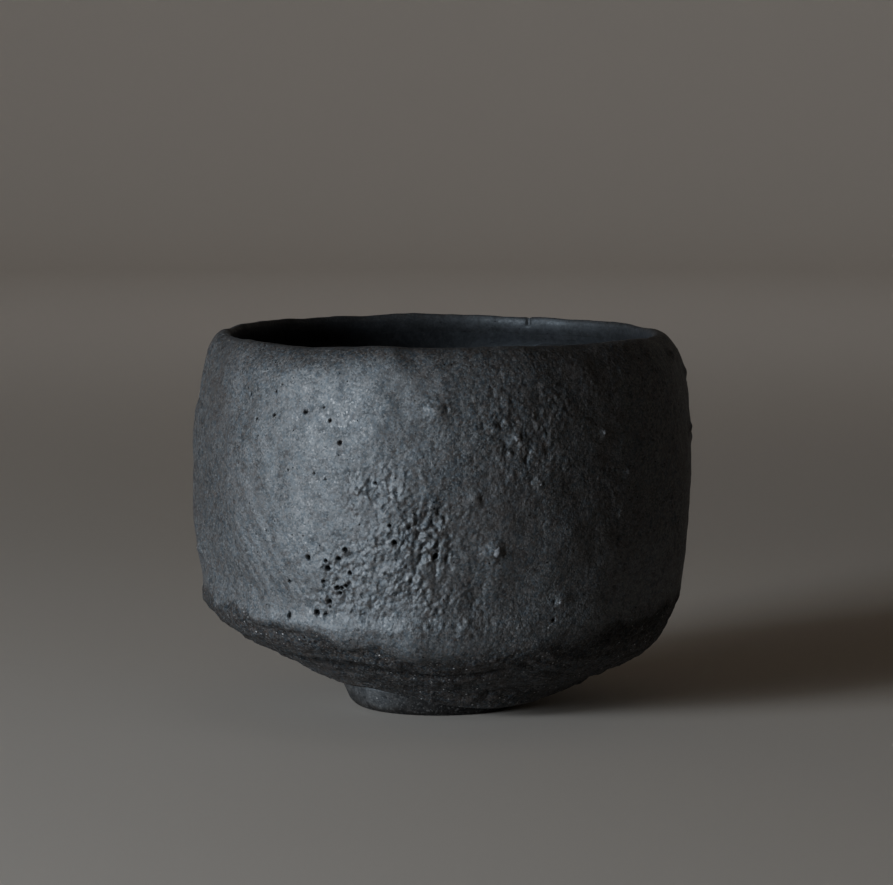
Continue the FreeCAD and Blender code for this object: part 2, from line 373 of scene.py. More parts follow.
# Shallow presses of the fingers: bearing, height, half width, half height, depth.
PRESSES = (
    (230.0, 63.0, 5.0, 10.0, 0.45),
    (241.0, 52.0, 6.0, 8.0, 0.30),
    (261.0, 72.0, 5.0, 11.0, 0.25),
    (272.0, 64.0, 6.0, 8.0, -0.30),
    (224.0, 40.0, 4.0, 7.0, 0.35),
    (300.0, 55.0, 6.0, 9.0, 0.35),
    (313.0, 62.0, 6.0, 10.0, 0.40),
    (322.0, 36.0, 7.0, 8.0, 0.45),
    (20.0, 66.0, 8.0, 11.0, 0.50),
    (60.0, 44.0, 9.0, 9.0, 0.45),
    (105.0, 62.0, 8.0, 12.0, 0.50),
    (150.0, 50.0, 9.0, 10.0, 0.45),
)

# Stone grains that look unlike the rest: bearing, height, paleness, side of the pit beside it.
GRAIN_LOOKS = (
    (282.0, 43.8, 0.50, 1),
    (298.0, 31.9, 0.90, -1),
    (286.5, 68.8, 1.00, 1),
    (292.0, 58.5, 1.00, 1),
    (277.5, 55.5, 0.30, 1),
    (269.0, 74.5, 0.00, 1),
)
USUAL_PALENESS = 0.25


def patch(spot, bearings, heights):
    """Distance from a spot on the wall as a share of the patch's half width and half height."""
    centre, height, half_width, half_height = spot
    sideways = np.radians(turn(bearings, centre)) * WALL_RADIUS
    return np.hypot(sideways / half_width, (heights - height) / half_height)


def strongest(table, bearings, heights):
    """The most that any patch of a table gives, with the amount as the last entry of each row."""
    share = np.zeros_like(heights)
    for *spot, amount in table:
        share = np.maximum(share, amount * bell(patch(spot, bearings, heights), 1.0))
    return share


def pebbled_share(bearings, heights, points, noise):
    """How torn and pebbled the clay is, 0 to 1."""
    ragged = 0.85 + 0.55 * noise.layered(points, 8.0, 3)
    return np.clip(strongest(PEBBLED, bearings, heights) * ragged, 0.0, 1.0)


def sandy_share(bearings, heights, points, noise):
    """How strongly the sand in the clay shows, about 0.2 to 2.6."""
    share = 0.62 + 0.22 * noise.waves(points + 3, 21.0) + 0.12 * noise.waves(points + 8, 7.0)
    for *spot, amount in SANDY:
        share = share + amount * bell(patch(spot, bearings, heights), 1.0)
    return np.clip(share, 0.20, 2.6)


def flattened(bearings, centre, half_width):
    """Depth of a chord cut across the round wall, rounded off where it meets the curve."""
    away = np.clip(np.abs(turn(bearings, centre)), 0.0, half_width)
    chord = math.cos(math.radians(half_width)) / np.cos(np.radians(away)) - 1
    return WALL_RADIUS * chord * ease(half_width, 0.86 * half_width, away)


def dents(bearings, heights, points, noise):
    """Broad unevenness from the hands, a scraped flat on the left and a soft ridge left of the middle."""
    broad = 0.50 * noise.waves(points, 27.0) + 0.42 * noise.waves(points + 50, 12.0)
    broad += 0.23 * noise.waves(points + 90, 5.5)
    # The scraped flat, whose right edge leans away to the right on its way down.
    flat_edge = 213.0 + 14.0 * ease(55.0, 27.0, heights) + 1.2 * noise.waves(points + 60, 11.0)
    broad += 0.55 * flattened(bearings, flat_edge - 15.0, 15.0) * ease(24.0, 34.0, heights)
    # The ridge high up, uneven clay above the hip, then the swelling halfway up and the hollow right of it.
    broad += 0.55 * bell(turn(bearings, 257.0), 9.0) * ease(44.0, 62.0, heights)
    broad += 0.45 * noise.waves(points + 85, 10.0) * bell(heights - 25.0, 7.0)
    broad += 0.80 * bell(turn(bearings, 258.5), 8.0) * ease(28.0, 40.0, heights) * ease(64.0, 50.0, heights)
    broad += -0.45 * bell(turn(bearings, 286.0), 12.0) * bell(heights - 44.0, 18.0)
    # The front lower down: a slight waist over the hip, fuller clay at it and under it.
    front = bell(turn(bearings, 268.0), 34.0)
    broad += -0.20 * front * bell(heights - 28.0, 4.0) * (1.0 + 0.6 * noise.waves(points + 70, 9.0))
    broad += 1.20 * front * bell(heights - 19.5, 4.5) * (1.0 + 0.4 * noise.waves(points + 75, 8.0))
    broad += 0.60 * front * bell(heights - 11.5, 4.5)
    broad += 0.30 * bell(turn(bearings, 269.0), 11.0) * bell(heights - 42.0, 15.0)
    return broad


def drag_marks(bearings, heights, points, noise):
    """Marks of fingers and rib on the left flat and right of it, and a mask of painted highlights on their
    raised slants.
    """
    upright = points * np.array([1.0, 1.0, 0.10])
    marks = 0.09 * noise.waves(upright, 2.2) * bell(turn(bearings, 203.0), 17.0)
    slant = heights + 1.6 * turn(bearings, 220.0)
    sweep = np.stack([slant * 0.9, 0.12 * turn(bearings, 220.0), np.zeros_like(slant)], axis=-1)
    share = bell(turn(bearings, 222.0), 12.0) * bell(heights - 42.0, 15.0)
    slants = noise.waves(sweep, 4.0) * share
    return marks + 0.22 * slants, 0.8 * ease(0.0, 0.5, slants)


def bloom_and_painted_light_share(bearings, heights, points, noise):
    """Where the wall is painted paler: partly where the smoke bloomed, partly painted light."""
    uneven = 0.8 + 0.5 * noise.layered(points * np.array([1.0, 1.0, 0.6]) + 17, 6.0, 3)
    return np.clip(strongest(BLOOMS_AND_PAINTED_LIGHT, bearings, heights) * uneven, 0.0, 1.0)


def pebbles(share, points, noise):
    """Crumbs of torn clay with small openings between them, and a mask of those openings for painted shade.
    """
    relief = np.zeros_like(share)
    gap_shade = np.zeros_like(share)
    busy = share > 0.02
    p = points[busy]
    warped = p + 0.5 * np.stack([noise.waves(p + shift, 1.8) for shift in (5.0, 25.0, 45.0)], axis=-1)
    warped = warped * np.array([1.0, 1.0, 0.72])
    coarse = np.abs(noise.waves(warped, 1.7))
    fine = np.abs(noise.waves(warped + 9, 0.9))
    near, chance = noise.cells(warped + 70, 1.15)
    crumb = (1 - (near / 0.75) ** 2) * (0.2 + 0.8 * chance)
    torn = 0.40 * noise.layered(p + 11, 4.5, 2, 0.6) + 0.42 * noise.layered(p + 31, 1.9, 2, 0.8)
    gap = ease(0.28, 0.58, noise.waves(p * np.array([1.0, 1.0, 0.65]) + 33, 1.5))
    gap = gap * ease(0.2, 0.6, share[busy])
    relief[busy] = 0.22 * (coarse - 0.3) + 0.20 * (fine - 0.3) + 0.40 * crumb + 0.9 * torn - 0.48 * gap
    gap_shade[busy] = gap
    return relief * share, gap_shade


def scattered_grains(points, noise, length, width, rise, kept):
    """Small bumps at scattered centres, of which only a share is kept."""
    near, chance = noise.cells(points, length)
    return rise * ease(width / 2, 0.0, near) * (chance < kept) * (0.4 + 0.6 * chance / kept)


def sand(points, amount, noise):
    """The sand of the clay, felt through its skin."""
    near, chance = noise.cells(points + 12, 1.0)
    fine = 0.06 * (0.4 - (near / 0.7) ** 2) * chance + 0.02 * noise.waves(points, 1.6)
    grit = scattered_grains(points, noise, 5.0, 1.5, 0.26, 0.32)
    grit += scattered_grains(points + 33, noise, 2.2, 0.95, 0.18, 0.45)
    holes = scattered_grains(points + 61, noise, 2.6, 0.8, 0.30, 0.30)
    return (fine + grit - holes) * amount


def pit_depth(bearings, heights, points, noise):
    """Depth of the open pits, and a mask of their inside for the colour, which is painted black: the smoked
    clay's own black and painted shade.
    """
    depth = np.zeros_like(heights)
    mask = np.zeros_like(heights)
    ragged = 1.0 + 0.45 * noise.waves(points, 0.9) + 0.30 * noise.waves(points + 4, 1.8)
    for centre, height, width, deep in PITS:
        away = patch((centre, height, width / 2, width / 2), bearings, heights) * ragged
        depth = np.maximum(depth, deep * ease(1.25, 0.45, away))
        mask = np.maximum(mask, ease(1.2, 0.7, away))
    return depth, mask


def lump_rise(bearings, heights):
    """The lumps standing out of the wall and the presses going into it."""
    presses = np.zeros_like(heights)
    for *spot, depth in PRESSES:
        presses += depth * bell(patch(spot, bearings, heights), 0.8)
    rise = np.zeros_like(heights)
    for centre, height, width, high in LUMPS:
        away = patch((centre, height, width / 2, width / 2), bearings, heights)
        rise = np.maximum(rise, high * bell(away, 0.8))
    return rise - presses


def grain_spots():
    """Centre and radius of each CAD grain, found as the loose parts of the grains' node."""
    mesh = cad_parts["stone_grains"].data
    points = [v.co / MM for v in mesh.vertices]
    parent = list(range(len(points)))

    def root(i):
        while parent[i] != i:
            parent[i] = parent[parent[i]]
            i = parent[i]
        return i

    for edge in mesh.edges:
        parent[root(edge.vertices[0])] = root(edge.vertices[1])
    seen = {}
    for i, point in enumerate(points):
        key = tuple(round(c, 3) for c in point)
        parent[root(i)] = root(seen.setdefault(key, i))
    groups = {}
    for i, point in enumerate(points):
        groups.setdefault(root(i), []).append(point)
    spots = []
    for group in groups.values():
        low = [min(p[axis] for p in group) for axis in range(3)]
        high = [max(p[axis] for p in group) for axis in range(3)]
        centre = Vector([(a + b) / 2 for a, b in zip(low, high)])
        spots.append((centre, (high[2] - low[2]) / 2))
    return sorted(spots, key=lambda spot: (round(spot[0].z, 3), round(spot[0].x, 3)))


def grain_look(centre):
    """Paleness of a grain, and the side of it on which its pit opens."""
    bearing = math.degrees(math.atan2(centre.y, centre.x))
    for look_bearing, height, paleness, side in GRAIN_LOOKS:
        if patch((look_bearing, height, 1.5, 1.5), bearing, centre.z) < 1.0:
            return paleness, side
    return USUAL_PALENESS, 1


def grain_collars(spots, points, noise):
    """Clay drawn up round each stone grain, most round smoked ones, with a ragged slit at one side, and a
    mask of the slits, which are painted dark partly as shade.
    """
    relief = np.zeros(points.shape[:-1])
    hollow = np.zeros(points.shape[:-1])
    ragged = 1.0 + 0.2 * noise.waves(points + 2, 1.0)
    for centre, radius in spots:
        paleness, side = grain_look(centre)
        sideways = Vector((-centre.y, centre.x, 0.0)).normalized() * side
        away = np.linalg.norm(points - np.array(centre), axis=-1) / radius
        relief += (0.75 - 0.30 * paleness) * radius * bell(away * ragged, 1.35)
        slit = np.array(centre + sideways * radius * 1.2)
        near_slit = np.linalg.norm((points - slit) * np.array([1.0, 1.0, 0.45]), axis=-1) / radius
        depth = ease(0.62, 0.20, near_slit * ragged)
        relief -= 0.55 * radius * depth
        hollow = np.maximum(hollow, 0.6 * depth)
    return relief, hollow


# Bearings that the facets of the trimmed underside face.
TRIM_FACETS = (268.0, 313.0, 356.0, 40.0, 88.0, 134.0, 178.0, 224.0)


def trimmed_underside(bearings, points, noise):
    """Straight cuts of the trimming tool, in one direction on each facet, and a mask of the deep ones for
    painted shade in them.
    """
    cuts = np.zeros(points.shape[:-1])
    total = np.zeros(points.shape[:-1])
    for number, facing in enumerate(TRIM_FACETS):
        angle = math.radians(facing)
        outward = points[..., 0] * math.cos(angle) + points[..., 1] * math.sin(angle)
        across = -points[..., 0] * math.sin(angle) + points[..., 1] * math.cos(angle)
        tilt = outward + across * (0.10 if number % 2 else -0.08)
        lines = np.stack([tilt, across * 0.09 + 40 * number, points[..., 2] * 0.3], axis=-1)
        steps = noise.waves(lines, 5.2) + 0.55 * noise.waves(lines + 9, 2.2)
        steps += 0.35 * noise.waves(lines, 1.0)
        weight = bell(turn(bearings, facing), 19.0) + 1e-6
        cuts += weight * steps
        total += weight
    torn = ease(0.05, 0.5, noise.waves(points + 80, 9.0))
    near, chance = noise.cells(points * np.array([1.0, 1.0, 1.3]), 2.6)
    crumbs = (1 - (near / 1.7) ** 2) * chance - 0.25
    near, chance = noise.cells(points + 13, 1.3)
    crumbs = crumbs + 0.5 * (1 - (near / 0.9) ** 2) * chance
    lumps = 0.16 * noise.waves(points + 44, 2.6) + 0.22 * noise.waves(points + 47, 6.0)
    depth = 0.55 + 0.35 * bell(turn(bearings, 236.0), 30.0)
    cuts = depth * cuts / total
    return cuts + (0.15 + 0.25 * torn) * crumbs + lumps, ease(-0.05, -0.55, cuts)


def apron(bearings):
    """How far the clay's edge is cut up left of the foot's front and, below zero, hangs down right of it."""
    return 1.3 * bell(turn(bearings, 222.0), 30.0) - 2.5 * bell(turn(bearings, 299.0), 36.0)


def outer_relief(points, bearings, spots, noise):
    """Displacement of the outer skin along its normal, in millimetres, and the masks that colour it."""
    heights = points[..., 2]
    bearings = np.broadcast_to(bearings, heights.shape)
    hip = HIP_FRONT + HIP_RISE * (1 - bell(turn(bearings, 275.0), 44.0))
    above = heights - hip + 2.2 * noise.waves(points, 12.0) + 0.9 * noise.waves(points, 3.0)
    softness = HIP_SOFTNESS[0] + (HIP_SOFTNESS[1] - HIP_SOFTNESS[0]) * bell(turn(bearings, 299.0), 48.0)
    wall = ease(-1.0, 1.0, above / softness)
    share = pebbled_share(bearings, heights, points, noise) * wall
    amount = sandy_share(bearings, heights, points, noise)
    pits, pit_mask = pit_depth(bearings, heights, points, noise)
    collars, hollows = grain_collars(spots, points, noise)
    crumbs, gap_shade = pebbles(share, points, noise)
    marks, stroke_highlights = drag_marks(bearings, heights, points, noise)
    relief = dents(bearings, heights, points, noise) * (0.55 + 0.45 * wall)
    relief += marks + crumbs + sand(points, amount, noise)
    cuts, groove_shade = trimmed_underside(bearings, points, noise)
    relief += cuts * (1 - wall)
    # A groove just under the hip, left of the front.
    relief -= 0.55 * bell(above + 2.0, 1.1) * bell(turn(bearings, 236.0), 26.0)
    relief += lump_rise(bearings, heights) + collars - pits
    # Pits and the slits beside grains, painted black: partly the smoked clay's own black, partly painted
    # shade.
    openings = np.maximum(pit_mask, hollows)
    shadows = np.maximum(0.5 * gap_shade, 0.5 * groove_shade * (1 - wall))
    # Painted highlights on the raised slants of the drag marks, and on the pebbled crumbs left of the front,
    # which face the window.
    painted_highlights = np.maximum(stroke_highlights, share * bell(turn(bearings, 254.0), 18.0))
    shades = {
        # Black in pits and slits, and painted shade in the gaps between crumbs and in the deep grooves of
        # the underside.
        "pits_and_painted_shade": np.maximum(openings, shadows),
        # Paler where the smoke bloomed, and painted light on lit marks and crumbs and on hollows that lie in
        # shade.
        "bloom_and_painted_light": np.maximum(painted_highlights, bloom_and_painted_light_share(bearings, heights, points, noise)) * wall,
        "sandy": amount + 1.1 * (1 - wall),
        "trimmed_and_painted_shade": 1 - wall,
    }
    return relief, shades


def rim_sway(bearings, heights, noise):
    """How far the rim rises and dips round the bowl."""
    sway = -0.50 * bell(turn(bearings, 228.0), 14.0) - 0.55 * bell(turn(bearings, 0.0), 26.0)
    sway += 0.30 * bell(turn(bearings, 90.0), 45.0) - 0.35 * bell(turn(bearings, 64.0), 9.0)
    ring = np.stack([np.cos(np.radians(bearings)), np.sin(np.radians(bearings)), 0 * bearings], axis=-1)
    sway = sway + 0.20 * noise.waves(ring * 50.0, 9.0) + 0.11 * noise.waves(ring * 50.0, 3.5)
    return sway * ease(80.0, 88.0, heights)


def rim_nick(bearings, points, inner_side):
    """The short upright nick inside the back of the rim."""
    return -0.6 * bell(turn(bearings, 64.9), 0.55) * ease(85.9, 86.6, points[..., 2]) * inner_side


# ---------------------------------------------------------------- grids and meshes

# Distance between the skin's columns on the front and elsewhere, the front's bearings, and the number
# that divides the count of columns, so that rings can be halved on the way to the middle.
FRONT_STEP = 0.25
BACK_STEP = 0.40
FRONT_SPAN = (196.0, 332.0)
COLUMN_MULTIPLE = 16

# Distance between the skin's rows from mark to mark: base, three coils, lip to its crest, lip inside.
ROW_STEPS = (0.64, 0.30, 0.30, 0.30, 0.30, 0.30)


def bearing_columns():
    """Bearings round the bowl, closer together on the front."""
    front = (FRONT_SPAN[1] - FRONT_SPAN[0]) / 360.0
    turn_length = 2 * math.pi * WALL_RADIUS
    front_count = int(front * turn_length / FRONT_STEP / COLUMN_MULTIPLE) * COLUMN_MULTIPLE
    back_count = int((1 - front) * turn_length / BACK_STEP / COLUMN_MULTIPLE) * COLUMN_MULTIPLE
    first = np.linspace(FRONT_SPAN[0], FRONT_SPAN[1], front_count, endpoint=False)
    second = np.linspace(FRONT_SPAN[1], FRONT_SPAN[0] + 360.0, back_count, endpoint=False)
    return np.concatenate([first, second])


def grid_normals(points):
    """Unit normals of a grid that closes round the bowl, pointing out of the clay."""
    round_the_bowl = np.roll(points, -1, axis=1) - np.roll(points, 1, axis=1)
    up_the_profile = np.gradient(points, axis=0)
    normals = np.cross(round_the_bowl, up_the_profile)
    return normals / np.maximum(np.linalg.norm(normals, axis=-1, keepdims=True), 1e-12)


def rows_between(start, end, step):
    """Evenly spaced places from start to end, about a step apart."""
    count = max(2, int(round(abs(end - start) / step)) + 1)
    return np.linspace(start, end, count)


def ring_faces(lower, upper):
    """Faces between two rings of vertex numbers.  The upper one may have half as many, or be one point."""
    count = len(lower)
    following = lower[1:] + lower[:1]
    if len(upper) == 1:
        return [(a, b, upper[0]) for a, b in zip(lower, following)]
    upper_following = upper[1:] + upper[:1]
    if len(upper) == count:
        return list(zip(lower, following, upper_following, upper))
    faces = []
    for i, (c, d) in enumerate(zip(upper, upper_following)):
        a, b, e = lower[2 * i], lower[2 * i + 1], following[2 * i + 1]
        faces += [(a, b, c), (b, d, c), (b, e, d)]
    return faces


def joined_rings(rings, closed):
    """Points and faces of a closed skin over rings of points, each ring joined to the next.

    Counts may halve from ring to ring on the way to either end, where a ring may be one point."""
    numbers, start = [], 0
    for ring in rings:
        numbers.append(list(range(start, start + len(ring))))
        start += len(ring)
    faces = []
    pairs = list(zip(numbers, numbers[1:]))
    if closed:
        pairs.append((numbers[-1], numbers[0]))
    for lower, upper in pairs:
        if len(lower) >= len(upper):
            faces += ring_faces(lower, upper)
        else:
            faces += [tuple(reversed(face)) for face in ring_faces(upper, lower)]
    return np.concatenate(rings), faces


def make_piece(name, points, faces, material, masks=None, normals=None):
    """A mesh object from points in millimetres, smooth, with masks as point attributes."""
    mesh = bpy.data.meshes.new(name)
    mesh.from_pydata((points * MM).tolist(), [], faces)
    mesh.validate()
    for key, values in (masks or {}).items():
        attribute = mesh.attributes.new(key, "FLOAT", "POINT")
        attribute.data.foreach_set("value", np.asarray(values, np.float32))
    mesh.polygons.foreach_set("use_smooth", np.ones(len(mesh.polygons), bool))
    if normals is not None:
        mesh.normals_split_custom_set_from_vertices(normals.tolist())
    mesh.materials.append(material)
    piece = bpy.data.objects.new(name, mesh)
    bpy.context.scene.collection.objects.link(piece)
    return piece


def settle(piece, node):
    """The piece takes the CAD node's place and rides on the bowl."""
    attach(piece, "root")
    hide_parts(node)


# Height inside the rim where the worked skin gives way to the plain face under the glaze.
INNER_SKIN_END = 81.8


class Skin:
    """The finished outer skin, from the foot's seat over the rim to the inside, as one grid."""

    def __init__(self, profile, seats, noise, spots):
        self.bearings = bearing_columns()
        marks = [profile.along[0], *seats, profile.top(), profile.where_height(INNER_SKIN_END, outer=False)]
        rows, self.row_of = [marks[0]], [0]
        for start, end, step in zip(marks, marks[1:], ROW_STEPS):
            rows.extend(rows_between(start, end, step)[1:])
            self.row_of.append(len(rows) - 1)
        self.rows = np.array(rows)
        smooth = profile.points(self.rows, self.bearings)
        normals = grid_normals(smooth)
        relief, self.masks = outer_relief(smooth, self.bearings, spots, noise)
        # The inside of the lip is smoother than the wall, and the relief fades out at both ends of the skin.
        inner_side = ease(profile.top() - 2.0, profile.top() + 1.5, self.rows)[:, None]
        relief = relief * (1 - 0.75 * inner_side)
        relief += rim_nick(self.bearings[None, :], smooth, inner_side)
        fade = ease(0.0, 2.5, self.rows - self.rows[0]) * ease(0.0, 3.5, self.rows[-1] - self.rows)
        self.points = smooth + normals * (relief * fade[:, None])[..., None]
        self.points[..., 2] += rim_sway(self.bearings[None, :], smooth[..., 2], noise)
        self.points[..., 2] += apron(self.bearings) * ease(11.0, 0.0, self.rows - self.rows[0])[:, None]
        self.normals = grid_normals(self.points)
        self.masks["inner"] = np.broadcast_to(inner_side, relief.shape)

    def member(self, first, last):
        """Rings, normals and masks of the skin between two of its marks."""
        part = slice(self.row_of[first], self.row_of[last] + 1)
        masks = {key: values[part] for key, values in self.masks.items()}
        return self.points[part], self.normals[part], masks


def between(start, end, count):
    """Rings strictly between two rings of equal length."""
    shares = np.linspace(0, 1, count + 2)[1:-1]
    return [start * (1 - share) + end * share for share in shares]


def padded(part, before, after, filling=0.0):
    """A grid of skin rows with constant rows added before and after it, flattened for a mesh."""
    head = [np.full((len(ring),) + part.shape[2:], filling) for ring in before]
    tail = [np.full((len(ring),) + part.shape[2:], filling) for ring in after]
    return np.concatenate([*head, *part, *tail])


def build_member(name, skin, profile, first, last, inner_ends, material):
    """One coil or the lip: skin outside, seats above and below, and a plain face under the glaze."""
    part, normals, masks = skin.member(first, last)
    low, high = inner_ends
    inner = list(profile.points(np.linspace(high, low, 4), skin.bearings))
    closing = between(part[-1], inner[0], 2) + inner + between(inner[-1], part[0], 2)
    points, faces = joined_rings([*part, *closing], closed=True)
    masks = {key: padded(values, [], closing, float(key == "inner")) for key, values in masks.items()}
    all_normals = padded(normals, [], closing)
    piece = make_piece(f"{name}_clay", points, faces, material, masks, all_normals)
    settle(piece, name)


def build_lip(skin, profile, low, high, material):
    """The lip: skin up and over the crest, then a plain face under the glaze and the seat below."""
    build_member("lip", skin, profile, 4, 6, (low, high), material)


def halved(ring, times):
    """A ring with every second point left out, this many times."""
    return ring[:: 2**times]


def foot_centre():
    """Middle of the foot ring, which stands a little off the bowl's axis, at the height of the table."""
    low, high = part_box("foot_ring")
    return np.array([(low[0] + high[0]) / 2, (low[1] + high[1]) / 2, 0.0]) / MM


# Where rings lie on the way from the base's lower edge to the middle of its underside, as shares of it,
# and the height below the table from which rays look up at it.
UNDER_SHARES = np.linspace(0.04, 0.97, 34)
BELOW_TABLE = -20.0
FLOOR_RINGS = 16


def underside_rings(edge, tree, noise):
    """From the skin's lower edge across the seat of the foot to the middle of its hollow."""
    axis = foot_centre()[:2]
    rings = []
    for share in UNDER_SHARES:
        ring = halved(edge, 1 if share < 0.5 else 2 if share < 0.8 else 3).copy()
        ring[:, :2] = ring[:, :2] * (1 - share) + axis * share
        for point in ring:
            hit = tree.ray_cast(Vector((*point[:2], BELOW_TABLE)) * MM, Vector((0, 0, 1)))[0]
            point[2] = hit.z / MM
        bearings = np.degrees(np.arctan2(ring[:, 1], ring[:, 0]))
        cut_up = np.maximum(apron(bearings), 0.0) * ease(0.30, 0.12, share)
        ring[:, 2] += cut_up + 0.10 * noise.waves(ring, 3.0) * ease(0.0, 0.2, share)
        rings.append(ring)
    centre = rings[-1].mean(axis=0, keepdims=True)
    return rings + [centre]


def floor_rings(profile, bearings, start):
    """From the inner end of the base's seat down the inside to the middle of the floor."""
    rows = np.linspace(start, profile.along[-1], FLOOR_RINGS)
    rings = []
    for number, row in enumerate(rows):
        ring = profile.points(np.array([row]), bearings)[0]
        rings.append(halved(ring, 1 if number < FLOOR_RINGS / 2 else 2))
    return rings + [rings[-1].mean(axis=0, keepdims=True)]


def build_base(skin, profile, inner_end, material, noise):
    """The base: skin outside, seat of the coil above, floor inside, seat of the foot below."""
    part, normals, masks = skin.member(0, 1)
    before = underside_rings(part[0], tree_of("base"), noise)[::-1]
    seat_end = profile.points(np.array([inner_end]), skin.bearings)[0]
    over = between(part[-1], seat_end, 2) + floor_rings(profile, skin.bearings, inner_end)
    points, faces = joined_rings([*before, *part, *over], closed=False)
    masks = {key: padded(values, before, over) for key, values in masks.items()}
    masks["trimmed_and_painted_shade"][: sum(len(ring) for ring in before)] = 1.0
    all_normals = padded(normals, before, over)
    piece = make_piece("base_clay", points, faces, material, masks, all_normals)
    settle(piece, "base")


# The middle of the foot ring's cross-section (radius, height), at which rays look in from all round, how
# far from it they start, and the foot's rows and columns.
FOOT_CORE = (17.2, 2.6)
FOOT_REACH = 12
FOOT_ROWS = 96
FOOT_COLUMNS = 480


def foot_outline(centre):
    """Radii and heights of the foot ring's cross-section, read by rays that look in at its core."""
    tree = tree_of("foot_ring")
    outline = []
    for degrees in np.linspace(0, 360, FOOT_ROWS, endpoint=False):
        c, s = math.cos(math.radians(degrees)), math.sin(math.radians(degrees))
        place = (FOOT_CORE[0] + FOOT_REACH * c + centre[0], centre[1], FOOT_CORE[1] + FOOT_REACH * s)
        hit = tree.ray_cast(Vector(place) * MM, Vector((-c, 0, -s)))[0]
        outline.append((hit.x / MM - centre[0], hit.z / MM))
    return outline


def build_foot(noise, material):
    """The foot ring: turned from its cross-section, then pressed and scraped."""
    centre = foot_centre()
    angle = np.radians(np.linspace(0, 360, FOOT_COLUMNS, endpoint=False))
    rings = []
    for radius, height in foot_outline(centre):
        ring = [radius * np.cos(angle), radius * np.sin(angle), 0 * angle + height]
        rings.append(np.stack(ring, axis=-1))
    grid = np.array(rings) + centre
    wrapped = np.concatenate([grid[-1:], grid, grid[:1]])
    normals = -grid_normals(wrapped)[1:-1]
    relief = 0.16 * noise.waves(grid, 8.0) + 0.08 * noise.waves(grid, 2.6) + 0.05 * noise.waves(grid, 1.0)
    relief += 0.06 * noise.waves(grid * np.array([0.25, 0.25, 2.2]), 1.6)
    relief -= scattered_grains(grid, noise, 3.4, 1.2, 0.35, 0.18)
    standing = ease(0.0, 0.8, grid[..., 2])
    points = grid - normals * (relief * standing)[..., None]
    points[..., 2] = np.maximum(points[..., 2], 0.0)
    ring_bearings = np.degrees(np.arctan2(points[..., 1], points[..., 0]))
    points[..., 2] += np.maximum(apron(ring_bearings), 0.0) * ease(2.0, 5.0, grid[..., 2])
    # Painted light: full on the side of the foot that faces the window, fading out towards the table, where
    # painted shade takes over.
    painted_lit_side = bell(turn(ring_bearings, 220.0), 30.0) * (0.8 + 0.5 * noise.waves(points, 5.0))
    painted_lit_side = painted_lit_side * ease(0.6, 2.6, grid[..., 2] + 0.7 * noise.waves(points, 6.0))
    flat, faces = joined_rings(list(points), closed=True)
    masks = {"painted_lit_side": np.clip(painted_lit_side, 0.0, 1.0).reshape(-1)}
    piece = make_piece("foot_ring_clay", flat, faces, material, masks)
    settle(piece, "foot_ring")


# The glaze: its thickness, the length below its upper edge over which it thins out, how deep in the clay
# that edge starts, how far behind that its hidden back lies, and its columns and distance between rows.
GLAZE_THICKNESS = 0.6
GLAZE_FEATHER = 12.0
GLAZE_ROOT = 0.12
GLAZE_BACK = 0.3
GLAZE_COLUMNS = 400
GLAZE_STEP = 0.95


def build_glaze(profile, noise, material):
    """The glaze lining, closed and thin, running out to nothing below the crest of the rim."""
    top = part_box("inner_glaze")[1][2] / MM
    bearings = np.linspace(0, 360, GLAZE_COLUMNS, endpoint=False)
    start = profile.where_height(top, outer=False)
    rows = rows_between(start, profile.along[-1], GLAZE_STEP)
    clay = profile.points(rows, bearings)
    clay[..., 2] += rim_sway(bearings[None, :], clay[..., 2], noise)
    outward = -grid_normals(clay)
    full = ease(0.0, GLAZE_FEATHER, rows - start)[:, None]
    depth = full * (GLAZE_THICKNESS + GLAZE_ROOT) - GLAZE_ROOT
    runs = 0.20 * noise.waves(clay, 18.0) + 0.12 * noise.waves(clay + 5, 6.0) + 0.03 * noise.waves(clay, 1.8)
    depth = depth * np.ones(len(bearings)) + runs * ease(0.0, 6.0, rows - start)[:, None]
    face = clay - outward * depth[..., None]
    back = clay + outward * (GLAZE_ROOT + GLAZE_BACK)
    every_second = back[::-2]
    ends = [ring.mean(axis=0, keepdims=True) for ring in (back[-1], face[-1])]
    points, faces = joined_rings([ends[0], *every_second, *face, ends[1]], closed=False)
    piece = make_piece("inner_glaze_coat", points, faces, material)
    settle(piece, "inner_glaze")


# Size of a pebble, before its bumps, as a share of the ball that it replaces, and how upright it is.
PEBBLE_SIZE = 0.88
PEBBLE_STRETCH = np.array([1.0, 1.0, 1.1])


def build_grains(spots, noise, material):
    """The stone grains: worn, angular pebbles in the places of the CAD's balls."""
    points, faces, pale = [], [], []
    for number, (centre, radius) in enumerate(spots):
        ball = bmesh.new()
        bmesh.ops.create_icosphere(ball, subdivisions=4, radius=1.0)
        unit = np.array([v.co[:] for v in ball.verts])
        start = sum(len(p) for p in points)
        faces += [[start + v.index for v in face.verts] for face in ball.faces]
        ball.free()
        shape = 1.0 + 0.28 * noise.waves(unit * 5 + 40 * number, 5.0) + 0.10 * noise.waves(unit * 5, 2.0)
        pebble = unit * shape[:, None] * PEBBLE_STRETCH * radius * PEBBLE_SIZE
        points.append(pebble + np.array(centre))
        pale.append(np.full(len(unit), grain_look(centre)[0]))
    masks = {"pale": np.concatenate(pale)}
    piece = make_piece("stone_grains_feldspar", np.concatenate(points), faces, material, masks)
    settle(piece, "stone_grains")


# ---------------------------------------------------------------- materials

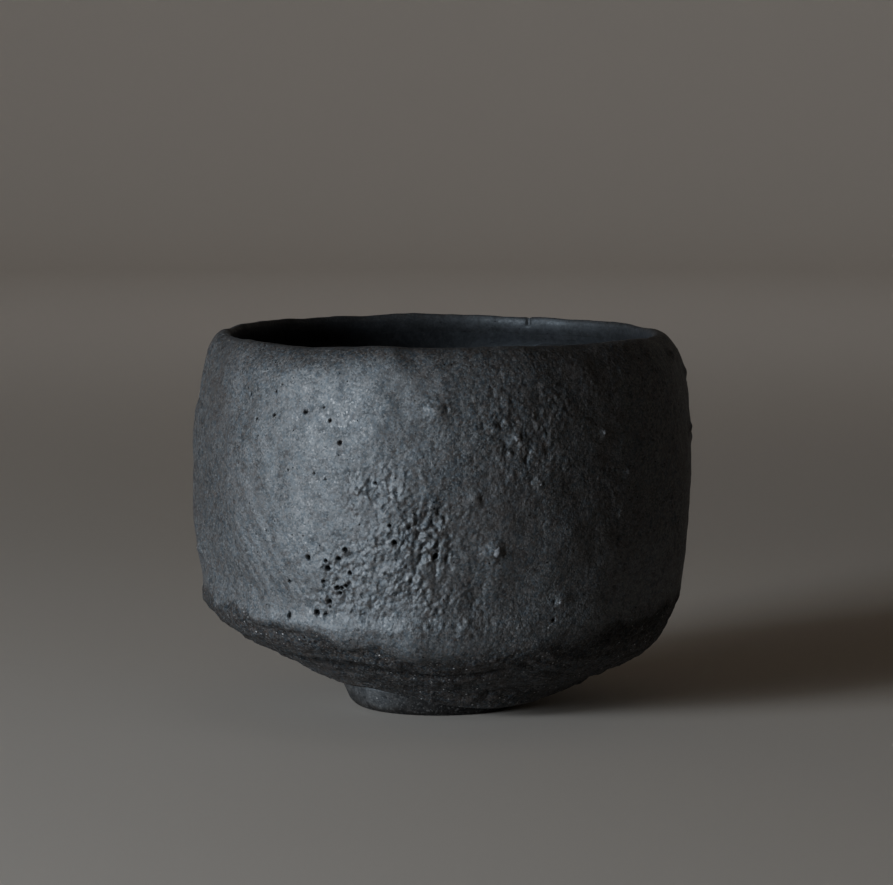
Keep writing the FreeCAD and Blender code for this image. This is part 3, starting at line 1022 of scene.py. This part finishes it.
class Nodes:
    """Small helper for node graphs of one material."""

    def __init__(self, name):
        self.material = bpy.data.materials.new(name)
        self.material.use_nodes = True
        self.tree = self.material.node_tree
        self.tree.nodes.clear()
        self.shader = self.add("ShaderNodeBsdfPrincipled")
        output = self.add("ShaderNodeOutputMaterial")
        self.link(self.shader.outputs["BSDF"], output.inputs["Surface"])
        self.place = self.add("ShaderNodeTexCoord").outputs["Object"]

    def add(self, kind, **settings):
        node = self.tree.nodes.new(kind)
        for key, value in settings.items():
            setattr(node, key, value)
        return node

    def link(self, source, target):
        self.tree.links.new(source, target)

    def feed(self, socket, value):
        if isinstance(value, bpy.types.NodeSocket):
            self.link(value, socket)
        else:
            socket.default_value = value

    def noise(self, size, detail=3.0, rough=0.55, stretch=None):
        """Noise with features about size millimetres across."""
        node = self.add("ShaderNodeTexNoise")
        node.inputs["Scale"].default_value = 1.0 / (size * MM)
        node.inputs["Detail"].default_value = detail
        node.inputs["Roughness"].default_value = rough
        self.link(self.stretched(stretch), node.inputs["Vector"])
        return node.outputs["Fac"]

    def stretched(self, stretch):
        if stretch is None:
            return self.place
        node = self.add("ShaderNodeMapping")
        node.inputs["Scale"].default_value = stretch
        self.link(self.place, node.inputs["Vector"])
        return node.outputs["Vector"]

    def cells(self, size):
        """Distance from, and colour of, scattered points about size millimetres apart."""
        node = self.add("ShaderNodeTexVoronoi")
        node.inputs["Scale"].default_value = 1.0 / (size * MM)
        self.link(self.place, node.inputs["Vector"])
        return node.outputs["Distance"], node.outputs["Color"]

    def span(self, value, low, high, to_low=0.0, to_high=1.0):
        """Value mapped from low..high to to_low..to_high, clamped."""
        node = self.add("ShaderNodeMapRange", interpolation_type="SMOOTHSTEP")
        self.feed(node.inputs["Value"], value)
        for name, number in zip(("From Min", "From Max", "To Min", "To Max"), (low, high, to_low, to_high)):
            node.inputs[name].default_value = number
        return node.outputs["Result"]

    def math(self, operation, a, b):
        node = self.add("ShaderNodeMath", operation=operation)
        self.feed(node.inputs[0], a)
        self.feed(node.inputs[1], b)
        return node.outputs[0]

    def times(self, a, b):
        return self.math("MULTIPLY", a, b)

    def mix(self, share, a, b):
        node = self.add("ShaderNodeMix", data_type="RGBA")
        self.feed(node.inputs["Factor"], share)
        self.feed(node.inputs["A"], a)
        self.feed(node.inputs["B"], b)
        return node.outputs["Result"]

    def mask(self, name):
        return self.add("ShaderNodeAttribute", attribute_name=name).outputs["Fac"]

    def height(self):
        """Height above the table in millimetres."""
        node = self.add("ShaderNodeSeparateXYZ")
        self.link(self.place, node.inputs["Vector"])
        return self.times(node.outputs["Z"], 1.0 / MM)

    def channel(self, colour, name="Red"):
        node = self.add("ShaderNodeSeparateColor")
        self.link(colour, node.inputs["Color"])
        return node.outputs[name]

    def dots(self, size, radius, kept):
        """Round dots of a radius in millimetres, in a share of cells about size millimetres apart."""
        away, colour = self.cells(size)
        round_dot = self.span(away, radius / size, 0.5 * radius / size)
        chosen = self.math("LESS_THAN", self.channel(colour), kept)
        return self.times(round_dot, chosen)

    def bump(self, height, depth, normal=None):
        """Bump whose full height range is depth millimetres."""
        node = self.add("ShaderNodeBump")
        node.inputs["Strength"].default_value = 1.0
        node.inputs["Distance"].default_value = depth * MM
        self.link(height, node.inputs["Height"])
        if normal is not None:
            self.link(normal, node.inputs["Normal"])
        return node.outputs["Normal"]

    def finish(self, colour, roughness, normal):
        """The material, with what varies over its surface linked to the shader."""
        self.link(colour, self.shader.inputs["Base Color"])
        self.link(roughness, self.shader.inputs["Roughness"])
        self.link(normal, self.shader.inputs["Normal"])
        return self.material


def rgb(red, green, blue):
    return (red, green, blue, 1.0)


def clay_grain(n, strength):
    """Sand and grit in the clay: a bumped normal, tone and hue of each sand grain, tone of the grit."""
    grit_away, grit_colour = n.cells(1.2)
    grit = n.span(grit_away, 0.75, 0.0)
    grit = n.times(grit, n.math("LESS_THAN", n.channel(grit_colour), 0.38))
    sand_away, sand_colour = n.cells(0.42)
    sand = n.span(sand_away, 0.85, 0.0)
    sand = n.times(sand, n.span(n.channel(sand_colour), 0.0, 1.0, 0.35, 1.0))
    dust = n.noise(0.26, 3.0, 0.7)
    normal = n.bump(n.times(grit, strength), 0.09)
    normal = n.bump(n.times(sand, strength), 0.065, normal)
    normal = n.bump(n.times(dust, strength), 0.085, normal)
    return normal, n.channel(sand_colour), n.channel(sand_colour, "Green"), n.channel(grit_colour, "Green")


def smoked_colour(n, tone, hue, grit_tone, holes):
    """Charcoal with clouds, speckled grain by grain, paler where the smoke bloomed and with painted light,
    brown and darkened with painted shade on the underside cut by trimming, and black in the pits with
    painted shade in the crevices.
    """
    clouds = n.span(n.noise(24.0, 4.0, 0.6), 0.38, 0.64)
    mottle = n.span(n.noise(4.5, 5.0, 0.7), 0.34, 0.68)
    wall = n.mix(clouds, rgb(0.036, 0.033, 0.031), rgb(0.049, 0.046, 0.044))
    wall = n.mix(n.times(mottle, 0.5), wall, rgb(0.023, 0.021, 0.019))
    # The underside cut by trimming: browner clay, and much darker as painted shade where it faces down to
    # the table.
    trimmed_and_painted_shade = n.mix(mottle, rgb(0.040, 0.033, 0.028), rgb(0.008, 0.006, 0.005))
    colour = n.mix(n.mask("trimmed_and_painted_shade"), wall, trimmed_and_painted_shade)
    # Paler where the smoke bloomed, and painted light on lit marks and crumbs and on hollows that lie in
    # shade.
    colour = n.mix(n.mask("bloom_and_painted_light"), colour, rgb(0.080, 0.080, 0.083))
    warmth = n.noise(17.0, 2.0)
    tint = n.noise(1.7, 3.0, 0.7)
    # What it follows, where it starts and is full, how much of it there is, and its colour.
    for value, first, full, share, paint in (
        (grit_tone, 0.72, 1.0, 0.5, (0.090, 0.088, 0.087)),
        (grit_tone, 0.30, 0.0, 0.6, (0.008, 0.007, 0.007)),
        (tone, 0.60, 1.0, 0.8, (0.105, 0.102, 0.100)),
        (tone, 0.40, 0.0, 0.9, (0.006, 0.005, 0.005)),
        (hue, 0.70, 1.0, 0.6, (0.056, 0.038, 0.027)),
        (hue, 0.30, 0.0, 0.6, (0.030, 0.043, 0.058)),
        (warmth, 0.50, 0.68, 0.45, (0.040, 0.030, 0.024)),
        (tint, 0.52, 0.66, 0.45, (0.062, 0.046, 0.038)),
        (tint, 0.48, 0.34, 0.45, (0.026, 0.038, 0.052)),
    ):
        colour = n.mix(n.span(value, first, full, 0.0, share), colour, rgb(*paint))
    chips = n.times(n.dots(1.3, 0.25, 0.42), n.mask("trimmed_and_painted_shade"))
    for dots, share, paint in (
        (holes, 0.85, (0.004, 0.004, 0.004)),
        (n.dots(3.4, 0.22, 0.22), 0.5, (0.24, 0.24, 0.25)),
        (chips, 0.9, (0.48, 0.47, 0.47)),
    ):
        colour = n.mix(n.times(dots, share), colour, rgb(*paint))
    # Near black in pits and slits, partly the clay's own black, and painted shade in the gaps between crumbs
    # and in the deep grooves of the underside.
    colour = n.mix(n.mask("pits_and_painted_shade"), colour, rgb(0.002, 0.002, 0.002))
    return n.mix(n.mask("inner"), colour, lining_colour(n))


def smoked_sheen(n, tone, grit_tone, holes):
    """Strength of the graphite sheen: most where the smoke bloomed and light is painted, least on the
    underside cut by trimming and in openings.
    """
    lower_down = n.span(n.height(), 30.0, 54.0, 0.60, 0.47)
    sheen = n.times(n.span(tone, 0.0, 1.0, 0.86, 1.14), lower_down)
    sheen = n.times(sheen, n.span(grit_tone, 0.0, 0.3, 0.75, 1.0))
    for mask, kept in (
        (n.mask("bloom_and_painted_light"), 1.3),
        (n.mask("trimmed_and_painted_shade"), 0.36),
        (holes, 0.15),
        (n.mask("pits_and_painted_shade"), 0.1),
        (n.mask("inner"), 0.65),
    ):
        sheen = n.times(sheen, n.span(mask, 0.0, 1.0, 1.0, kept))
    return sheen


def smoked_clay():
    """Carbon-smoked clay: charcoal with a cool graphite sheen, black in the pits with painted shade in the
    crevices, brown and darkened with painted shade on the underside cut by trimming.
    """
    n = Nodes("smoked_clay")
    strength = n.times(n.mask("sandy"), n.span(n.mask("inner"), 0.0, 1.0, 1.0, 0.12))
    normal, tone, hue, grit_tone = clay_grain(n, strength)
    holes = n.dots(2.1, 0.27, 0.32)
    n.shader.inputs["IOR"].default_value = 1.98
    n.shader.inputs["Specular Tint"].default_value = rgb(0.86, 0.93, 1.0)
    n.link(smoked_sheen(n, tone, grit_tone, holes), n.shader.inputs["Specular IOR Level"])
    rough = n.span(n.noise(3.0, 4.0, 0.7), 0.3, 0.7, 0.57, 0.70)
    rough = n.math("ADD", rough, n.times(n.span(hue, 0.86, 1.0), -0.16))
    rough = n.math("ADD", rough, n.times(n.mask("trimmed_and_painted_shade"), 0.10))
    return n.finish(smoked_colour(n, tone, hue, grit_tone, holes), rough, normal)


def foot_clay():
    """The foot: painted lighter and greyer on the side that faces the window, painted dark as shade on the
    rest and near the table, with the trimming's fine lines.
    """
    n = Nodes("foot_clay")
    mottle = n.span(n.noise(4.0, 5.0, 0.65), 0.35, 0.66)
    # Painted shade on the foot's front and near the table, and painted light on the side that faces the
    # window.
    dark = n.mix(mottle, rgb(0.022, 0.019, 0.017), rgb(0.009, 0.008, 0.007))
    light = n.mix(mottle, rgb(0.070, 0.068, 0.068), rgb(0.036, 0.034, 0.034))
    colour = n.mix(n.mask("painted_lit_side"), dark, light)
    normal, tone, _, grit_tone = clay_grain(n, n.span(mottle, 0.0, 1.0, 0.6, 0.9))
    colour = n.mix(n.span(grit_tone, 0.40, 0.0, 0.0, 0.6), colour, rgb(0.008, 0.007, 0.007))
    colour = n.mix(n.span(tone, 0.66, 1.0, 0.0, 0.45), colour, rgb(0.120, 0.116, 0.112))
    colour = n.mix(n.times(n.dots(2.6, 0.28, 0.25), 0.8), colour, rgb(0.30, 0.29, 0.27))
    colour = n.mix(n.times(n.dots(2.2, 0.22, 0.25), 0.85), colour, rgb(0.010, 0.010, 0.010))
    n.shader.inputs["IOR"].default_value = 1.6
    n.shader.inputs["Specular Tint"].default_value = rgb(0.80, 0.90, 1.0)
    n.link(n.span(n.mask("painted_lit_side"), 0.0, 1.0, 0.22, 0.60), n.shader.inputs["Specular IOR Level"])
    lines = n.bump(n.noise(1.2, 3.0, 0.6, (0.15, 0.15, 1.8)), 0.10, normal)
    return n.finish(colour, n.span(mottle, 0.0, 1.0, 0.58, 0.74), lines)


def lining_colour(n):
    """Blue-black with faint clouds: the glaze, and the smoked clay it thins out on."""
    clouds = n.span(n.noise(20.0, 4.0, 0.6), 0.36, 0.66)
    speckle = n.span(n.noise(1.4, 4.0, 0.7), 0.40, 0.70)
    colour = n.mix(clouds, rgb(0.017, 0.017, 0.018), rgb(0.033, 0.034, 0.039))
    return n.mix(n.times(speckle, 0.35), colour, rgb(0.054, 0.055, 0.061))


def black_glaze():
    """Satin blue-black lining with small pinholes, duller in some places than in others."""
    n = Nodes("black_glaze")
    colour = lining_colour(n)
    colour = n.mix(n.times(n.dots(4.0, 0.22, 0.25), 0.8), colour, rgb(0.006, 0.006, 0.006))
    n.shader.inputs["IOR"].default_value = 1.62
    n.shader.inputs["Specular Tint"].default_value = rgb(0.80, 0.90, 1.0)
    rough = n.span(n.noise(7.0, 4.0, 0.65), 0.32, 0.68, 0.54, 0.66)
    return n.finish(colour, rough, n.bump(n.noise(1.1, 4.0, 0.6), 0.10))


def feldspar():
    """Feldspar grains: pale stone, smoked to the clay's grey where they were not rubbed."""
    n = Nodes("feldspar")
    smoke = n.span(n.noise(1.6, 4.0, 0.7), 0.34, 0.62)
    pale = n.mix(smoke, rgb(0.34, 0.35, 0.38), rgb(0.16, 0.165, 0.18))
    dark = n.mix(smoke, rgb(0.075, 0.074, 0.076), rgb(0.040, 0.039, 0.040))
    colour = n.mix(n.mask("pale"), dark, pale)
    return n.finish(colour, n.span(smoke, 0.0, 1.0, 0.50, 0.68), n.bump(n.noise(0.45, 4.0, 0.7), 0.22))


def floor_material():
    """Plain matt paint."""
    n = Nodes("pale_floor")
    n.shader.inputs["Base Color"].default_value = rgb(0.66, 0.61, 0.55)
    n.shader.inputs["Roughness"].default_value = 0.9
    return n.material


# ---------------------------------------------------------------- stage, light and camera

# Outline of the stage in metres, radius and height: flat, then swept up into a wall all round.
STAGE_FLAT = 1.7
STAGE_SWEEP = 0.9
STAGE_TOP = 2.2
STAGE_SIDES = 96


def build_floor():
    """A plain pale floor that sweeps up all round, so that no horizon shows from any side."""
    outline = [(STAGE_FLAT, 0.0)]
    for degrees in range(6, 91, 6):
        angle = math.radians(degrees)
        outline.append((STAGE_FLAT + STAGE_SWEEP * math.sin(angle), STAGE_SWEEP * (1 - math.cos(angle))))
    outline.append((STAGE_FLAT + STAGE_SWEEP, STAGE_TOP))
    corners = [(0.0, 0.0, 0.0)]
    for radius, height in outline:
        for side in range(STAGE_SIDES):
            angle = 2 * math.pi * side / STAGE_SIDES
            corners.append((radius * math.cos(angle), radius * math.sin(angle), height))
    faces = []
    for side in range(STAGE_SIDES):
        following = (side + 1) % STAGE_SIDES
        faces.append((0, 1 + side, 1 + following))
        for ring in range(len(outline) - 1):
            low, high = 1 + ring * STAGE_SIDES, 1 + (ring + 1) * STAGE_SIDES
            faces.append((low + side, high + side, high + following, low + following))
    mesh = bpy.data.meshes.new("floor")
    mesh.from_pydata(corners, [], faces)
    mesh.polygons.foreach_set("use_smooth", np.ones(len(faces), bool))
    mesh.materials.append(floor_material())
    floor = bpy.data.objects.new("floor", mesh)
    bpy.context.scene.collection.objects.link(floor)


# Height of the middle of the bowl.
MIDDLE_HEIGHT = 0.045


def placed(bearing, elevation, distance):
    """A point at this bearing, elevation and distance from the middle of the bowl."""
    flat = distance * math.cos(math.radians(elevation))
    return Vector((
        flat * math.cos(math.radians(bearing)),
        flat * math.sin(math.radians(bearing)),
        MIDDLE_HEIGHT + distance * math.sin(math.radians(elevation)),
    ))


def add_light(name, place, target, size, power, colour):
    """A soft rectangular light at one point that looks at another."""
    lamp = bpy.data.lights.new(name, "AREA")
    lamp.shape = "RECTANGLE"
    lamp.size, lamp.size_y = size
    lamp.energy = power
    lamp.color = colour
    lamp_object = bpy.data.objects.new(name, lamp)
    lamp_object.location = place
    lamp_object.rotation_euler = (place - target).to_track_quat("Z", "Y").to_euler()
    bpy.context.scene.collection.objects.link(lamp_object)


def light_studio():
    """Window-like light from the left, a little cool, a lit backdrop, and very little fill."""
    middle = Vector((0.0, 0.0, MIDDLE_HEIGHT))
    window = placed(bearing=218.0, elevation=7.5, distance=1.25)
    add_light("window", window, middle, size=(0.45, 0.38), power=15.5, colour=(0.84, 0.92, 1.0))
    above = Vector((0.0, 1.0, 1.0))
    behind = Vector((0.0, 2.2, 0.15))
    add_light("backdrop", above, behind, size=(1.2, 0.4), power=1.8, colour=(0.93, 0.95, 1.0))
    world = bpy.data.worlds.new("studio")
    world.use_nodes = True
    background = world.node_tree.nodes["Background"]
    background.inputs["Color"].default_value = rgb(0.80, 0.65, 0.50)
    background.inputs["Strength"].default_value = 0.05
    bpy.context.scene.world = world


# The camera's place in metres, its pitch below level in degrees and its lens in millimetres.
CAMERA_DISTANCE = 0.927
CAMERA_HEIGHT = 0.1593
CAMERA_SIDE = 0.00105
CAMERA_PITCH = 5.99
CAMERA_LENS = 159.5


def place_camera():
    """A long lens, slightly above the rim, looking down at the bowl's front."""
    lens = bpy.data.cameras.new("camera")
    lens.lens = CAMERA_LENS
    lens.sensor_width = 36.0
    lens.sensor_fit = "HORIZONTAL"
    lens.clip_start = 0.05
    lens.clip_end = 50.0
    camera = bpy.data.objects.new("camera", lens)
    camera.location = (CAMERA_SIDE, -CAMERA_DISTANCE, CAMERA_HEIGHT)
    camera.rotation_euler = (math.radians(90.0 - CAMERA_PITCH), 0.0, 0.0)
    bpy.context.scene.collection.objects.link(camera)
    bpy.context.scene.camera = camera


# ---------------------------------------------------------------- assembly

def seat_heights():
    """Outer edges of the seats: the lowest point of each clay member that stands on another."""
    return [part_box(name)[0][2] / MM for name in ("lower_coil", "middle_coil", "upper_coil", "lip")]


def seat_inner_ends(profile):
    """Where the seats meet the inside: the highest point of each member but the lip."""
    tops = [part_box(name)[1][2] / MM for name in ("base", "lower_coil", "middle_coil", "upper_coil")]
    return [profile.where_height(top, outer=False) for top in tops]


def build_bowl():
    """All pieces of the bowl, over one smooth form and with one seeded noise."""
    noise = Noise(41)
    tree = tree_of(*CLAY)
    top_of_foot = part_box("foot_ring")[1][2] / MM
    profile = Profile(tree, sight_stations(top_of_foot))
    seats = [profile.where_height(height) for height in seat_heights()]
    ends = seat_inner_ends(profile)
    spots = grain_spots()
    skin = Skin(profile, seats, noise, spots)
    clay = smoked_clay()
    build_base(skin, profile, ends[0], clay, noise)
    for index, name in enumerate(("lower_coil", "middle_coil", "upper_coil")):
        inner_ends = (ends[index], ends[index + 1])
        build_member(name, skin, profile, index + 1, index + 2, inner_ends, clay)
    inside_top = profile.where_height(INNER_SKIN_END, outer=False)
    build_lip(skin, profile, ends[3], inside_top, clay)
    build_glaze(profile, noise, black_glaze())
    build_grains(spots, noise, feldspar())
    build_foot(noise, foot_clay())


place_camera()
build_floor()
light_studio()
build_bowl()
